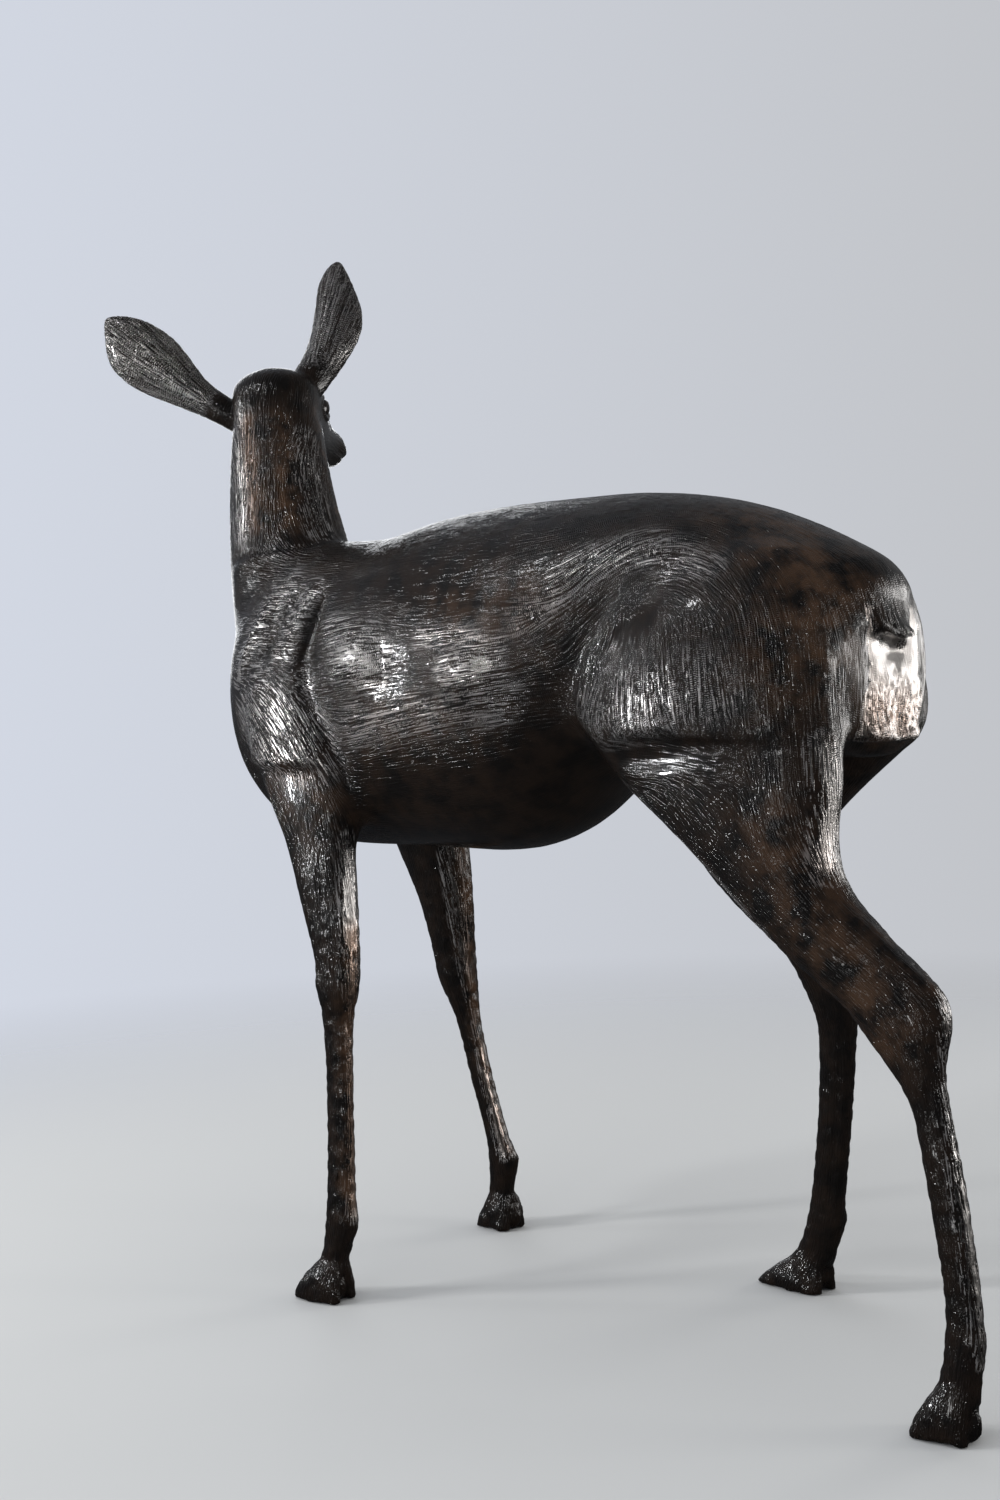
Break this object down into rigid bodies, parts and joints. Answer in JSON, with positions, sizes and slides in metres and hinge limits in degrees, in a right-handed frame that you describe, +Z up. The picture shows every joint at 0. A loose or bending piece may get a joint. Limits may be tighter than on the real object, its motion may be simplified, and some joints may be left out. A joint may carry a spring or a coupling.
{
  "type": "doe statue",
  "caption": "Nearly life-size standing doe, one hollow metal casting with a fur surface, head turned to one side and ears spread, resting on its four hooves.",
  "frame": {"origin": "on the ground, under the middle of the doe's outline seen from above", "axes": "the doe faces -Y, her left side is +X, and +Z is up"},
  "size_m": [0.3394, 1.0428, 1.1248],
  "materials": {
    "patinated_aluminium": "black-brown patina, rubbed bright on the fur ridges, lacquered"
  },
  "bodies": {
    "root": {"doe_statue": "patinated_aluminium"}
  },
  "joints": []
}
